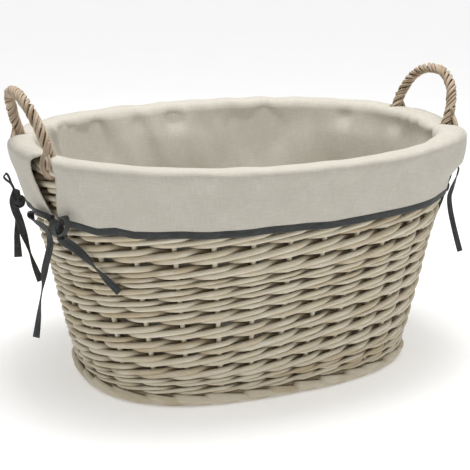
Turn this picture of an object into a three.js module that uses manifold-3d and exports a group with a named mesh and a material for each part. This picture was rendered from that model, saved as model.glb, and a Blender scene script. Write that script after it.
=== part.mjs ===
// A lined oval laundry basket in millimetres, +Z up, with its origin under the middle of the foot border.
// X runs along the basket, from the left handle to the right one, and -Y is the front.
import * as THREE from "three";
import { mergeVertices } from "three/addons/utils/BufferGeometryUtils.js";
import Module from "manifold-3d";

const wasm = await Module();
wasm.setup();

// ---------- driving dimensions ----------
const gap = 0.3; // between pieces that touch

// The wall: the stakes' centre line is an oval that grows with height.
const stakeCount = 32;
const footHalfLength = 218;
const footHalfWidth = 154;
const rimHeight = 318;
const rimFlare = 70; // how much further out the stakes are at the rim than on the floor
const flarePower = 1.11; // over 1, so the wall curves outwards a little
const footOvalPower = 2.62; // 2 is an ellipse, and more is squarer
const rimOvalPower = 2.26;

// Willow
const stakeRadius = 3.7;
const waleThickness = 6.6;
const waleReach = 8.5; // from a stake's centre line to a row's centre line
const upsettThickness = 6;
const footBorderHeight = 18.3;
const upsettPitch = 9.7;
const upsettCount = 2;
const waleHeights = [18.3, 18.5, 20.5, 20.2, 18.4, 15.6, 16, 13.5, 17.8, 21.9, 17.5, 17.5, 17.8, 18.7];
const waleBottom = footBorderHeight + gap + upsettCount * upsettPitch;
const waleTop = waleHeights.reduce((sum, height) => sum + height, waleBottom);
const borderHalfWidth = 11.8;
const borderTop = 311.3;
const stickRadius = 4;
const baseBottom = 8;
const baseTop = 20;

// Handles: a bow of rods over two feet, one stake and a half from the basket's end
const footFromEnd = 1.5; // in stake spaces
// Three feet sit off their even places: the place and the shift, in stake spaces.
const footShifts = [
  [1.5, -0.27],
  [14.5, 0.09],
  [30.5, 0.07],
];
const shiftReach = 1.2; // how far from a foot its shift still moves the stakes, in stake spaces
const handleLegBottom = 212;
const handleSpring = 314.4; // height of the wrap's ends
const handleRise = { left: 70.5, right: 66 };
const handleLean = 22;
const handleArchPower = 0.87; // under 1, so the bow is squarer than a half ellipse
const coreRadius = 3.1;
const wrapHoleRadius = 4.1;
const wrapRadius = 7;

// Liner
const clothThickness = 2;
const linerOff = -12.3; // the cloth wall's outer face, from the stakes' centre line
const linerBottom = 21.3;
const linerWallTop = 300;
const hemTop = 244.6;
const hemHeight = 9;
const slitHalfWidthAtRim = 15;
const slitHalfWidthAtHem = 1.2;

// Ties
const tieRadius = 2;
const tieSteps = 26;

const wicker = { color: 0x958c79, roughness: 0.75, metalness: 0 };
const pith = { color: 0xa99a80, roughness: 0.75, metalness: 0 };
const rope = { color: 0xb2a18b, roughness: 0.7, metalness: 0 };
const linen = { color: 0xc8c3b8, roughness: 0.9, metalness: 0 };
const tape = { color: 0x42433f, roughness: 0.85, metalness: 0 };

const basket = new THREE.Group();

// ---------- the oval ----------
// Places round the basket are counted in stake spaces: 0 at the right end, 8 at the back, 16 at the
// left end and 24 at the front. Stakes stand at the halves.
function flareAt(height) {
  return rimFlare * (Math.max(height, 0) / rimHeight) ** flarePower;
}

function ovalPowerAt(height) {
  const rise = THREE.MathUtils.clamp(height / rimHeight, 0, 1);
  return THREE.MathUtils.lerp(footOvalPower, rimOvalPower, rise);
}

// A point in the direction of an angle, off outwards from the stakes' centre line, square to it.
function ovalAtAngle(angle, off, height) {
  const power = ovalPowerAt(height);
  const halfLength = footHalfLength + flareAt(height);
  const halfWidth = footHalfWidth + flareAt(height);
  const cos = Math.cos(angle);
  const sin = Math.sin(angle);
  const share = (Math.abs(cos) / halfLength) ** power + (Math.abs(sin) / halfWidth) ** power;
  const radius = share ** (-1 / power);
  const outward = new THREE.Vector3(
    (Math.sign(cos) * Math.abs((radius * cos) / halfLength) ** (power - 1)) / halfLength,
    (Math.sign(sin) * Math.abs((radius * sin) / halfWidth) ** (power - 1)) / halfWidth,
    0,
  ).normalize();
  return new THREE.Vector3(radius * cos, radius * sin, height).addScaledVector(outward, off);
}

// The angle at each step of equal length round the quarter from the right end to the back.
const quarterSpaces = stakeCount / 4;
const quarterSteps = 800;
const quarterAngles = [];
const quarterLengths = [];
for (let step = 0; step <= quarterSteps; step += 1) {
  const angle = ((Math.PI / 2) * step) / quarterSteps;
  quarterAngles.push(angle);
  if (step === 0) {
    quarterLengths.push(0);
  } else {
    const here = ovalAtAngle(angle, 0, waleTop);
    const before = ovalAtAngle(quarterAngles[step - 1], 0, waleTop);
    quarterLengths.push(quarterLengths[step - 1] + here.distanceTo(before));
  }
}

function angleInQuarter(spaces) {
  const length = (quarterLengths[quarterSteps] * spaces) / quarterSpaces;
  let step = 1;
  while (step < quarterSteps && quarterLengths[step] < length) {
    step += 1;
  }
  const share = (length - quarterLengths[step - 1]) / (quarterLengths[step] - quarterLengths[step - 1]);
  return quarterAngles[step - 1] + share * (quarterAngles[step] - quarterAngles[step - 1]);
}

function wrap(spaces) {
  return ((spaces % stakeCount) + stakeCount) % stakeCount;
}

// Where a place lies once the handles' feet, and the stakes beside them, are shifted.
function shifted(spaces) {
  return footShifts.reduce((sum, [place, shift]) => {
    const apart = wrap(spaces - place + stakeCount / 2) - stakeCount / 2;
    return sum + shift * Math.exp(-((apart / shiftReach) ** 2));
  }, spaces);
}

function angleAt(spaces) {
  const wrapped = wrap(shifted(spaces));
  const quarter = Math.floor(wrapped / quarterSpaces);
  const within = wrapped - quarter * quarterSpaces;
  if (quarter % 2 === 0) {
    return (quarter * Math.PI) / 2 + angleInQuarter(within);
  }
  return ((quarter + 1) * Math.PI) / 2 - angleInQuarter(quarterSpaces - within);
}

// A point beside the wall: spaces round it, off outwards from the stakes' centre line, at a height.
function wallPoint(spaces, off, height) {
  return ovalAtAngle(angleAt(spaces), off, height);
}

// The same on the straight line from one stake's place to the next, as the faceted rings run.
function facetPoint(spaces, off, height) {
  const stake = Math.floor(spaces - 0.5) + 0.5;
  return wallPoint(stake, off, height).lerp(wallPoint(stake + 1, off, height), spaces - stake);
}

// ---------- shape helpers ----------
function closedGeometry(geometry) {
  geometry.deleteAttribute("normal");
  geometry.deleteAttribute("uv");
  const merged = mergeVertices(geometry, 1e-3);
  const position = merged.attributes.position;
  const corners = [0, 1, 2].map(() => new THREE.Vector3());
  let volume = 0;
  for (let i = 0; i < merged.index.count; i += 3) {
    corners.forEach((corner, k) => corner.fromBufferAttribute(position, merged.index.getX(i + k)));
    volume += corners[0].dot(corners[1].clone().cross(corners[2]));
  }
  if (volume < 0) {
    const order = merged.index.array;
    for (let i = 0; i < order.length; i += 3) {
      [order[i + 1], order[i + 2]] = [order[i + 2], order[i + 1]];
    }
  }
  return merged;
}

function toSolid(geometry) {
  const closed = closedGeometry(geometry);
  const vertProperties = new Float32Array(closed.attributes.position.array);
  const triVerts = new Uint32Array(closed.index.array);
  return new wasm.Manifold(new wasm.Mesh({ numProp: 3, vertProperties, triVerts }));
}

function fromSolid(solid) {
  const mesh = solid.getMesh();
  const geometry = new THREE.BufferGeometry();
  geometry.setAttribute("position", new THREE.BufferAttribute(mesh.vertProperties, 3));
  geometry.setIndex(new THREE.BufferAttribute(mesh.triVerts, 1));
  return geometry;
}

function union(geometries) {
  return geometries.map(toSolid).reduce((joined, solid) => joined.add(solid));
}

function addPiece(name, geometry, look) {
  const mesh = new THREE.Mesh(geometry, new THREE.MeshStandardMaterial(look));
  mesh.name = name;
  mesh.geometry.computeVertexNormals();
  basket.add(mesh);
}

// A ring with one station at each stake. place(station, corner) gives each corner of its section.
function ovalRing(cornerCount, place) {
  const circle = [];
  for (let corner = 0; corner <= cornerCount; corner += 1) {
    const turn = (2 * Math.PI * corner) / cornerCount;
    circle.push(new THREE.Vector2(3 + Math.cos(turn), Math.sin(turn)));
  }
  const geometry = new THREE.LatheGeometry(circle, stakeCount);
  for (let station = 0; station <= stakeCount; station += 1) {
    for (let corner = 0; corner <= cornerCount; corner += 1) {
      const point = place(station % stakeCount, corner % cornerCount);
      geometry.attributes.position.setXYZ(station * (cornerCount + 1) + corner, point.x, point.y, point.z);
    }
  }
  return closedGeometry(geometry);
}

// A ring whose section, a list of [off, height], stays the same all round.
function plainRing(section) {
  return ovalRing(section.length, (station, corner) => wallPoint(station + 0.5, ...section[corner]));
}

// A strip with a hidden and a visible face, each a list of [off, height] from its first edge to its
// second. It has a station at each stake from first to last, and trim(height) shortens both ends.
function wallStrip(hidden, visible, first, last, trim) {
  const rows = hidden.length - 1;
  const stations = Math.max(last - first, 2);
  const geometry = new THREE.BoxGeometry(1, 1, 1, stations, rows, 1);
  const position = geometry.attributes.position;
  for (let i = 0; i < position.count; i += 1) {
    const station = first + (last - first) * (position.getX(i) + 0.5);
    const row = Math.round((position.getY(i) + 0.5) * rows);
    const [off, height] = position.getZ(i) > 0 ? visible[row] : hidden[row];
    const spaces = THREE.MathUtils.clamp(station, first + trim(height), last - trim(height));
    const point = facetPoint(spaces, off, height);
    position.setXYZ(i, point.x, point.y, point.z);
  }
  return closedGeometry(geometry);
}

function polygon(radius, sides, holeRadius = 0) {
  const ring = (size) => {
    const points = [];
    for (let side = 0; side < sides; side += 1) {
      const turn = (2 * Math.PI * side) / sides;
      points.push(new THREE.Vector2(size * Math.cos(turn), size * Math.sin(turn)));
    }
    return points;
  };
  const shape = new THREE.Shape(ring(radius));
  if (holeRadius > 0) {
    shape.holes.push(new THREE.Path(ring(holeRadius)));
  }
  return shape;
}

function rodAlong(points, section, steps) {
  const extrudePath = new THREE.CatmullRomCurve3(points, false, "centripetal");
  return closedGeometry(new THREE.ExtrudeGeometry(section, { steps, extrudePath, bevelEnabled: false }));
}

// ---------- willow rows ----------
// Each row passes outside one stake and inside the next, and the row above does the opposite.
function wovenRow(name, index, bottom, top, thickness) {
  const place = (station, corner) => {
    const side = (station + index) % 2 === 0 ? 1 : -1;
    const face = corner === 1 || corner === 2 ? 0.5 : -0.5;
    const height = corner < 2 ? bottom : top;
    return wallPoint(station + 0.5, side * waleReach + face * thickness, height);
  };
  addPiece(name, ovalRing(4, place), wicker);
}

for (let row = 0; row < upsettCount; row += 1) {
  const bottom = footBorderHeight + gap + row * upsettPitch;
  wovenRow(`upsett_row_${row + 1}`, row, bottom, bottom + upsettPitch - gap, upsettThickness);
}
let rowBottom = waleBottom;
waleHeights.forEach((height, row) => {
  const name = `wale_row_${String(row + 1).padStart(2, "0")}`;
  wovenRow(name, row, rowBottom, rowBottom + height - gap, waleThickness);
  rowBottom += height;
});

// ---------- stakes, with the bent ends that join them under the wall ----------
const handleFeet = {
  right: { back: footFromEnd, front: stakeCount - footFromEnd },
  left: { back: stakeCount / 2 - footFromEnd, front: stakeCount / 2 + footFromEnd },
};
const footPlaces = Object.values(handleFeet).flatMap((feet) => Object.values(feet));
const channelFloor = 12;
const channelHalfWidth = 4.5;
const slantRise = 1; // how far a leaning rod's end face rises above its centre line's end

function stakeRod(spaces) {
  const top = (footPlaces.includes(spaces) ? handleLegBottom - 1 : waleTop) - slantRise;
  const bottom = channelFloor + 2;
  const points = [];
  for (let step = 0; step <= 3; step += 1) {
    points.push(wallPoint(spaces, 0, bottom + ((top - bottom) * step) / 3));
  }
  return rodAlong(points, polygon(stakeRadius, 6), 3);
}

const stakeRods = [];
for (let stake = 0; stake < stakeCount; stake += 1) {
  stakeRods.push(stakeRod(stake + 0.5));
}
const stakeSole = plainRing([
  [-channelHalfWidth + 0.8, channelFloor + gap],
  [channelHalfWidth - 0.8, channelFloor + gap],
  [channelHalfWidth - 0.8, footBorderHeight],
  [-channelHalfWidth + 0.8, footBorderHeight],
]);
addPiece("stakes", fromSolid(union([stakeSole, ...stakeRods])), pith);

// ---------- borders ----------
const footBorderHalf = 11.5;
addPiece(
  "foot_border",
  plainRing([
    [-footBorderHalf, 0],
    [footBorderHalf, 0],
    [footBorderHalf, footBorderHeight],
    [channelHalfWidth, footBorderHeight],
    [channelHalfWidth, channelFloor],
    [-channelHalfWidth, channelFloor],
    [-channelHalfWidth, footBorderHeight],
    [-footBorderHalf, footBorderHeight],
  ]),
  wicker,
);

const borderBottom = waleTop + gap;
const borderShoulder = borderTop - 8.3;
const topBorderRing = plainRing([
  [-borderHalfWidth + 0.4, borderBottom],
  [borderHalfWidth - 0.4, borderBottom],
  [borderHalfWidth, borderShoulder],
  [9, borderTop - 2.3],
  [4, borderTop],
  [-4, borderTop],
  [-9, borderTop - 2.3],
  [-borderHalfWidth, borderShoulder],
]);
const legHoles = footPlaces.map((spaces) => {
  const ends = [wallPoint(spaces, 0, borderBottom - 5), wallPoint(spaces, 0, borderTop + 5)];
  return rodAlong(ends, polygon(coreRadius + 0.9, 8), 1);
});
addPiece("top_border", fromSolid(toSolid(topBorderRing).subtract(union(legHoles))), wicker);

// ---------- base ----------
const baseHalfLength = footHalfLength - footBorderHalf - 1.5;
const baseHalfWidth = footHalfWidth - footBorderHalf - 1.5;
const baseMiddle = (baseBottom + baseTop) / 2;
const longStickPlaces = [-16, 0, 16];
const crossStickPlaces = [-140, -105, -70, -35, 0, 35, 70, 105, 140];

function ovalPlate(halfLength, halfWidth, bottom, top, pointCount) {
  const power = ovalPowerAt(bottom);
  const outline = [];
  for (let i = 0; i < pointCount; i += 1) {
    const angle = (2 * Math.PI * i) / pointCount;
    const cos = Math.cos(angle);
    const sin = Math.sin(angle);
    const x = halfLength * Math.sign(cos) * Math.abs(cos) ** (2 / power);
    const y = halfWidth * Math.sign(sin) * Math.abs(sin) ** (2 / power);
    outline.push(new THREE.Vector2(x, y));
  }
  const geometry = new THREE.ExtrudeGeometry(new THREE.Shape(outline), {
    depth: top - bottom,
    bevelEnabled: false,
  });
  geometry.translate(0, 0, bottom);
  return closedGeometry(geometry);
}

function baseSticks(radius) {
  const power = ovalPowerAt(baseBottom);
  const reach = (place, across, along) => along * (1 - (Math.abs(place) / across) ** power) ** (1 / power);
  const sticks = longStickPlaces.map((y) => {
    const half = reach(y, baseHalfWidth, baseHalfLength) + 0.8;
    const ends = [new THREE.Vector3(-half, y, baseMiddle), new THREE.Vector3(half, y, baseMiddle)];
    return rodAlong(ends, polygon(radius, 6), 1);
  });
  for (const x of crossStickPlaces) {
    const half = reach(x, baseHalfLength, baseHalfWidth) + 0.8;
    const ends = [new THREE.Vector3(x, -half, baseMiddle), new THREE.Vector3(x, half, baseMiddle)];
    sticks.push(rodAlong(ends, polygon(radius, 6), 1));
  }
  return union(sticks);
}

const baseDisc = toSolid(ovalPlate(baseHalfLength, baseHalfWidth, baseBottom, baseTop, 40));
addPiece("base_frame", fromSolid(baseSticks(stickRadius)), pith);
addPiece("base_weave", fromSolid(baseDisc.subtract(baseSticks(stickRadius + gap + 0.1))), wicker);

// ---------- handles ----------
// The bow from the back foot over to the front foot.
function handleArch(feet, height, end) {
  const back = wallPoint(feet.back, 0, handleSpring);
  const front = wallPoint(feet.front, 0, handleSpring);
  const points = [];
  for (let step = 0; step <= 12; step += 1) {
    const turn = (Math.PI * step) / 12;
    const cos = Math.cos(turn);
    const rise = Math.max(Math.sin(turn), 0) ** handleArchPower;
    const across = Math.sign(cos) * Math.abs(cos) ** handleArchPower;
    const foot = back.clone().lerp(front, (1 - across) / 2);
    points.push(foot.add(new THREE.Vector3(end * handleLean * rise, 0, height * rise)));
  }
  return points;
}

function handleLeg(spaces) {
  const heights = [handleLegBottom, (handleLegBottom + borderTop) / 2, borderTop - 8];
  return heights.map((height) => wallPoint(spaces, 0, height));
}

// The fanned rod ends of the wrap, lying over the border inside the slit.
function handleFoot(spaces) {
  const halfWidth = 6 / 50; // in stake spaces, which are about 50 mm here
  const hidden = [
    [12.1, 283],
    [12.2, 291],
    [12.3, borderShoulder],
    [9.5, borderTop - 1.5],
  ];
  const visible = [
    [14.6, 283],
    [15.4, 290],
    [15.7, borderShoulder + 0.5],
    [10.4, borderTop + 1.2],
  ];
  return wallStrip(hidden, visible, spaces - halfWidth, spaces + halfWidth, () => 0);
}

for (const [side, feet] of Object.entries(handleFeet)) {
  const arch = handleArch(feet, handleRise[side], side === "right" ? 1 : -1);
  const corePoints = [...handleLeg(feet.back), ...arch, ...handleLeg(feet.front).reverse()];
  addPiece(`handle_${side}_core`, rodAlong(corePoints, polygon(coreRadius, 6), 32), rope);
  addPiece(`handle_${side}_wrap`, rodAlong(arch, polygon(wrapRadius, 7, wrapHoleRadius), 20), rope);
  addPiece(`handle_${side}_foot_back`, handleFoot(feet.back), rope);
  addPiece(`handle_${side}_foot_front`, handleFoot(feet.front), rope);
}

// ---------- liner ----------
const floorInset = footBorderHalf + 7;
const linerInner = linerOff - clothThickness;
addPiece(
  "liner_floor",
  ovalPlate(
    footHalfLength + flareAt(linerBottom) - floorInset,
    footHalfWidth + flareAt(linerBottom) - floorInset,
    linerBottom,
    linerBottom + clothThickness,
    40,
  ),
  linen,
);

const wallHeights = [0, 1, 2, 3].map((step) => linerBottom + ((linerWallTop - linerBottom) * step) / 3);
const wallOuter = wallHeights.map((height) => [linerOff, height]);
const wallInner = wallHeights.map((height) => [linerInner, height]).reverse();
addPiece("liner_wall", plainRing([...wallOuter, ...wallInner]), linen);

// Each flap starts at the liner wall's top edge, goes over the border and hangs to its hem tape.
const flapBottom = hemTop + 0.4;
const flapHidden = [
  [linerOff, linerWallTop + gap],
  [linerOff - 0.3, borderTop - 2],
  [-8, borderTop + 2.6],
  [0, borderTop + 4],
  [8, borderTop + 2.6],
  [13.2, borderTop - 2.5],
  [12.8, flapBottom],
];
const flapVisible = [
  [linerInner, linerWallTop + gap],
  [linerInner - 0.4, borderTop - 1.5],
  [-9.3, borderTop + 4.6],
  [0, borderTop + 6.2],
  [9.3, borderTop + 4.6],
  [15.4, borderTop - 2],
  [14.9, flapBottom],
];

function slitHalfSpaces(height) {
  const rise = THREE.MathUtils.clamp((height - hemTop) / (linerWallTop - hemTop), 0, 1);
  return THREE.MathUtils.lerp(slitHalfWidthAtHem, slitHalfWidthAtRim, rise) / 50;
}

const flapSpans = {
  front: [handleFeet.left.front, handleFeet.right.front],
  right: [handleFeet.right.front, handleFeet.right.back + stakeCount],
  back: [handleFeet.right.back, handleFeet.left.back],
  left: [handleFeet.left.back, handleFeet.left.front],
};
const tapeHidden = [
  [12.6, hemTop - hemHeight],
  [12.6, hemTop],
];
const tapeVisible = [
  [15.1, hemTop - hemHeight],
  [15.1, hemTop],
];
for (const [side, [first, last]] of Object.entries(flapSpans)) {
  const flap = wallStrip(flapHidden, flapVisible, first, last, slitHalfSpaces);
  addPiece(`liner_flap_${side}`, flap, linen);
  const hem = wallStrip(tapeHidden, tapeVisible, first, last, slitHalfSpaces);
  addPiece(`hem_tape_${side}`, hem, tape);
}

// ---------- bows ----------
// Each bow is a knot at a slit's lower end with two ties. A tie's route starts beside the knot, goes
// round its loop and down its tail. Routes are in the knot's own frame: along the hem towards the next
// stake, out from the wall, and up.
const mirrored = (route) => route.map(([along, out, up]) => [-along, out, up]);

const flatLoopRoute = [
  [-7, 0, 5], [-16, 2, 11], [-30, 3, 14], [-44, 3, 13], [-51, 3, 9], [-47, 4, 3], [-34, 5, 1],
  [-20, 6, 0], [-9, 7, -4], [-4, 7, -17], [-7, 9, -32], [-11, 12, -50], [-14, 14, -70],
  [-17, 17, -92], [-20, 19, -115], [-24, 21, -139],
];
const wallTailRoute = [
  [7, 0, 4], [11, 1, 12], [16, 2, 18], [22, 2, 20], [26, 2, 16], [26, 2, 8], [21, 3, 0],
  [14, 4, -6], [15, 0, -12], [23, -9, -20], [33, -18, -32], [43, -25, -45], [55, -32, -58],
  [68, -40, -71],
];
const outwardLoopRoute = [
  [7, 0, 4], [9, 2, 11], [10, 5, 19], [10, 9, 27], [9, 14, 31], [7, 17, 35], [4, 14, 38],
  [3, 11, 33], [3, 9, 26], [4, 6, 19], [5, 6, 12], [6, 7, 2], [7, 5, -10], [7, 1, -22],
  [8, -3, -38], [9, -8, -56], [10, -13, -76], [10, -18, -93], [10, -23, -108],
];
const hiddenLoopRoute = [
  [-7, 0, 3], [-15, 3, 7], [-27, 5, 9], [-37, 5, 5], [-38, 5, -2], [-29, 6, -5], [-18, 6, -5],
  [-10, 5, -9], [-7, 5, -18], [-7, 5, -32], [-7, 6, -48], [-8, 6, -64], [-8, 6, -79],
];
const uprightLoopRoute = [
  [-5, 2, 4], [-6, 5, 12], [-7, 7, 20], [-8, 10, 27], [-8, 16, 28], [-7, 16, 20], [-7, 13, 10],
  [-7, 9, -2], [-7, 6, -14], [-6, 8, -30], [-6, 12, -47], [-5, 17, -64], [-4, 22, -80],
  [-3, 27, -95],
];
const backwardLoopRoute = [
  [7, 0, 3], [15, 1, 8], [27, 1, 10], [37, 0, 6], [38, 0, -1], [30, 1, -5], [19, 2, -6],
  [12, 1, -11], [12, -1, -21], [17, -4, -35], [23, -8, -52], [28, -12, -70], [32, -16, -92],
];
const bows = {
  front_left: { foot: handleFeet.left.front, knot: [10, 7, -7], ties: [flatLoopRoute, wallTailRoute] },
  back_left: { foot: handleFeet.left.back, knot: [0, 9, -11], ties: [hiddenLoopRoute, outwardLoopRoute] },
  front_right: { foot: handleFeet.right.front, knot: [-3, 3, -12], ties: [uprightLoopRoute, backwardLoopRoute] },
  back_right: {
    foot: handleFeet.right.back,
    knot: [-10, 7, -7],
    ties: [mirrored(wallTailRoute), mirrored(flatLoopRoute)],
  },
};

// Turns [along, out, up] beside a slit into a point of the basket.
function bowFrame(foot) {
  const origin = wallPoint(foot, 15.2, hemTop - hemHeight / 2);
  const ahead = wallPoint(foot + 0.05, 15.2, origin.z);
  const behind = wallPoint(foot - 0.05, 15.2, origin.z);
  const along = ahead.sub(behind).normalize();
  const out = new THREE.Vector3(along.y, -along.x, 0);
  return ([a, o, u]) => origin.clone().addScaledVector(along, a).addScaledVector(out, o).add(new THREE.Vector3(0, 0, u));
}

for (const [place, bow] of Object.entries(bows)) {
  const inBasket = bowFrame(bow.foot);
  const centre = inBasket(bow.knot);
  const knot = new THREE.SphereGeometry(1, 8, 6);
  knot.scale(4.4, 4.4, 5.2);
  knot.translate(centre.x, centre.y, centre.z);
  addPiece(`bow_${place}_knot`, closedGeometry(knot), tape);
  bow.ties.forEach((route, index) => {
    const points = route.map((step) => inBasket(step.map((value, k) => value + bow.knot[k])));
    addPiece(`bow_${place}_tie_${index + 1}`, rodAlong(points, polygon(tieRadius, 8), tieSteps), tape);
  });
}

export default basket;
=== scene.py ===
"""Looks of the lined oval willow basket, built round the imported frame. Everything is in metres."""

from math import cos, pi, radians, sin

import bmesh
import bpy
import numpy as np
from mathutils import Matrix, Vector


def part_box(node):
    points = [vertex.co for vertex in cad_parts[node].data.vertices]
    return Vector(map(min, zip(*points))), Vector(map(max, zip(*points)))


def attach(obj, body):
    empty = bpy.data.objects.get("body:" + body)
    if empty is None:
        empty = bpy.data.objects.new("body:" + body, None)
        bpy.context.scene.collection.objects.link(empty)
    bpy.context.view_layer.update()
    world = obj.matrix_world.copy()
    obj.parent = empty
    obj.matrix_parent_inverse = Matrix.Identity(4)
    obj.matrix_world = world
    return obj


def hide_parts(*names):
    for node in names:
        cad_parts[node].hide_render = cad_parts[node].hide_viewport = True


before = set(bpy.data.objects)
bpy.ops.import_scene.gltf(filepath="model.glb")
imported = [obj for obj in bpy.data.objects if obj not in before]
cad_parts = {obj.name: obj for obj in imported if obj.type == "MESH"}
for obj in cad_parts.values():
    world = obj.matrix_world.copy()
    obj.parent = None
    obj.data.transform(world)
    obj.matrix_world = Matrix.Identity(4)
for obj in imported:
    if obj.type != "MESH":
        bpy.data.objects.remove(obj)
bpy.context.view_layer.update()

MM = 0.001

# The wall: the stakes' centre line is an oval that grows with height.
STAKES = 32
FOOT_HALF_LENGTH = 0.218
FOOT_HALF_WIDTH = 0.154
RIM_HEIGHT = 0.318
RIM_FLARE = 0.070
FLARE_POWER = 1.11
FOOT_OVAL_POWER = 2.62  # 2 is an ellipse, and more is squarer
RIM_OVAL_POWER = 2.26
SPACING_HEIGHT = 0.2902  # the height at which the stakes are evenly spaced
FOOT_SHIFTS = ((1.5, -0.27), (14.5, 0.09), (30.5, 0.07))  # the handle feet off their even places
SHIFT_REACH = 1.2  # how far from a foot its shift still moves the wall, in stake spaces

# Willow
STAKE_RADIUS = 3.3 * MM
STAKE_OFF = 1.6 * MM
WALE_ROWS = 14
WALE_REACH = 7.3 * MM  # how far out a rod's centre lies where it crosses a stake
UPSETT_REACH = 6.4 * MM
ROD_STEPS = 10  # rings of a woven rod in each space between two stakes
FOOT_ROD_RADIUS = 6.0 * MM
FOOT_BEND_HEIGHT = 13.2 * MM
FOOT_BEND_RADIUS = 5.6 * MM
BORDER_ROD_RADIUS = 4.2 * MM

# Base
BASE_HALF_LENGTH = 0.205
BASE_HALF_WIDTH = 0.141
BASE_STICK_RADIUS = 3.9 * MM
BASE_ROD_RADIUS = 2.6 * MM
BASE_ROUNDS = 27

# Handles
HANDLE_FEET = {"left": (14.5, 17.5), "right": (1.5, 30.5)}  # back and front foot, in stake spaces
HANDLE_SPRING = 0.3144
HANDLE_RISE = {"left": 0.0705, "right": 0.066}
HANDLE_LEAN = 0.022
HANDLE_ARCH_POWER = 0.87
CORE_RADIUS = 2.8 * MM
TWIST_RADIUS = 5.2 * MM
TWIST_ROD_RADIUS = 1.75 * MM
TWIST_LEAD = 0.040
TWIST_STRANDS = 4

# Linen
CLOTH_THICKNESS = 1.3 * MM
HEM_HEIGHT = 0.2446
TAPE_HEIGHT = 10.0 * MM
TAPE_OFF = 13.9 * MM
TAPE_HALF_THICKNESS = 1.45 * MM
LINER_OFF = -13.3 * MM
LINER_FLOOR = 0.0223
FLAPS = {"front": (17.5, 30.5), "right": (30.5, 33.5), "back": (1.5, 14.5), "left": (14.5, 17.5)}

# Ties
TIE_WIDTH = 10.0 * MM
TIE_THICKNESS = 1.7 * MM
TIE_STEPS = 6

# Camera, round a point above the middle of the floor
CAMERA_AZIMUTH = radians(-23.8)
CAMERA_ELEVATION = radians(16.43)
CAMERA_DISTANCE = 1.536
CAMERA_ASIDE = -0.00645
CAMERA_ABOVE = 0.01827
CAMERA_LENS = 85.7
LOOK_HEIGHT = 0.150

# Studio
FLOOR_REACH = 40
WORLD_STRENGTH = 0.42
SKY_STRENGTH = 0.9
SKY_SPREAD = radians(60)
PANEL_POWER = 15
PANEL_SIZE = 0.7

chance = np.random.default_rng(20)


# ---------- the wall's shape ----------


def unit(vectors):
    vectors = np.asarray(vectors, float)
    return vectors / np.maximum(np.linalg.norm(vectors, axis=-1, keepdims=True), 1e-12)


def flare_at(height):
    """How much further out the wall's centre line is at this height than on the floor."""
    return RIM_FLARE * (np.maximum(height, 0) / RIM_HEIGHT) ** FLARE_POWER


def oval_power_at(height):
    return FOOT_OVAL_POWER + (RIM_OVAL_POWER - FOOT_OVAL_POWER) * np.clip(height / RIM_HEIGHT, 0, 1)


def oval(angle, off, height):
    """Points at these angles and heights, off outwards from the centre line, square to it."""
    angle, off, height = np.broadcast_arrays(np.asarray(angle, float), off, height)
    long_half = FOOT_HALF_LENGTH + flare_at(height)
    wide_half = FOOT_HALF_WIDTH + flare_at(height)
    along, aside = np.cos(angle), np.sin(angle)
    power = oval_power_at(height)
    radius = (np.abs(along / long_half) ** power + np.abs(aside / wide_half) ** power) ** (-1 / power)
    x, y = radius * along, radius * aside
    out_x = np.sign(x) * np.abs(x / long_half) ** (power - 1) / long_half
    out_y = np.sign(y) * np.abs(y / wide_half) ** (power - 1) / wide_half
    size = np.hypot(out_x, out_y)
    return np.stack([x + off * out_x / size, y + off * out_y / size, height + 0 * x], axis=-1)


def even_lap():
    """Angles all round the oval, and how many stake spaces lie before each of them."""
    angle = np.linspace(0, 2 * pi, 7201)
    steps = np.linalg.norm(np.diff(oval(angle, 0, SPACING_HEIGHT), axis=0), axis=1)
    spaces = np.concatenate([[0], np.cumsum(steps)])
    return spaces * STAKES / spaces[-1], angle


LAP_SPACES, LAP_ANGLES = even_lap()


def wall_point(spaces, off, height):
    """A point beside the wall: stake spaces round it from the right end, off outwards, and a height."""
    moved = np.asarray(spaces, float)
    for place, shift in FOOT_SHIFTS:
        apart = np.mod(spaces - place + STAKES / 2, STAKES) - STAKES / 2
        moved = moved + shift * np.exp(-((apart / SHIFT_REACH) ** 2))
    angle = np.interp(np.mod(moved, STAKES), LAP_SPACES, LAP_ANGLES)
    return oval(angle, off, height)


def outward_at(spaces):
    """The level direction that points away from the basket at this place on the wall."""
    return unit(wall_point(spaces, 1 * MM, SPACING_HEIGHT) - wall_point(spaces, 0, SPACING_HEIGHT))


# ---------- curves and meshes ----------


def smooth(keys, steps):
    """An open curve through every key, with this many spans in each gap between two keys."""
    keys = np.asarray(keys, float)
    padded = np.vstack([2 * keys[0] - keys[1], keys, 2 * keys[-1] - keys[-2]])
    found = []
    for first in range(len(keys) - 1):
        a, b, c, d = padded[first : first + 4]
        t = np.linspace(0, 1, steps, endpoint=False)[:, None]
        square = 2 * a - 5 * b + 4 * c - d
        cube = 3 * b - a - 3 * c + d
        found.append(0.5 * (2 * b + (c - a) * t + square * t**2 + cube * t**3))
    return np.vstack([*found, keys[-1:]])


def between(keys, count):
    """Values at even steps along a list of (place from 0 to 1, value) keys."""
    places = [key[0] for key in keys]
    values = np.asarray([key[1] for key in keys], float)
    steps = np.linspace(0, 1, count)
    if values.ndim == 1:
        return np.interp(steps, places, values)
    return np.stack([np.interp(steps, places, column) for column in values.T], axis=-1)


def distances(points):
    """How far along the line each point is."""
    return np.concatenate([[0], np.cumsum(np.linalg.norm(np.diff(points, axis=0), axis=1))])


def ring_outline(sides):
    turn = np.arange(sides) * 2 * pi / sides
    return np.stack([np.cos(turn), np.sin(turn)], axis=1)


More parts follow.
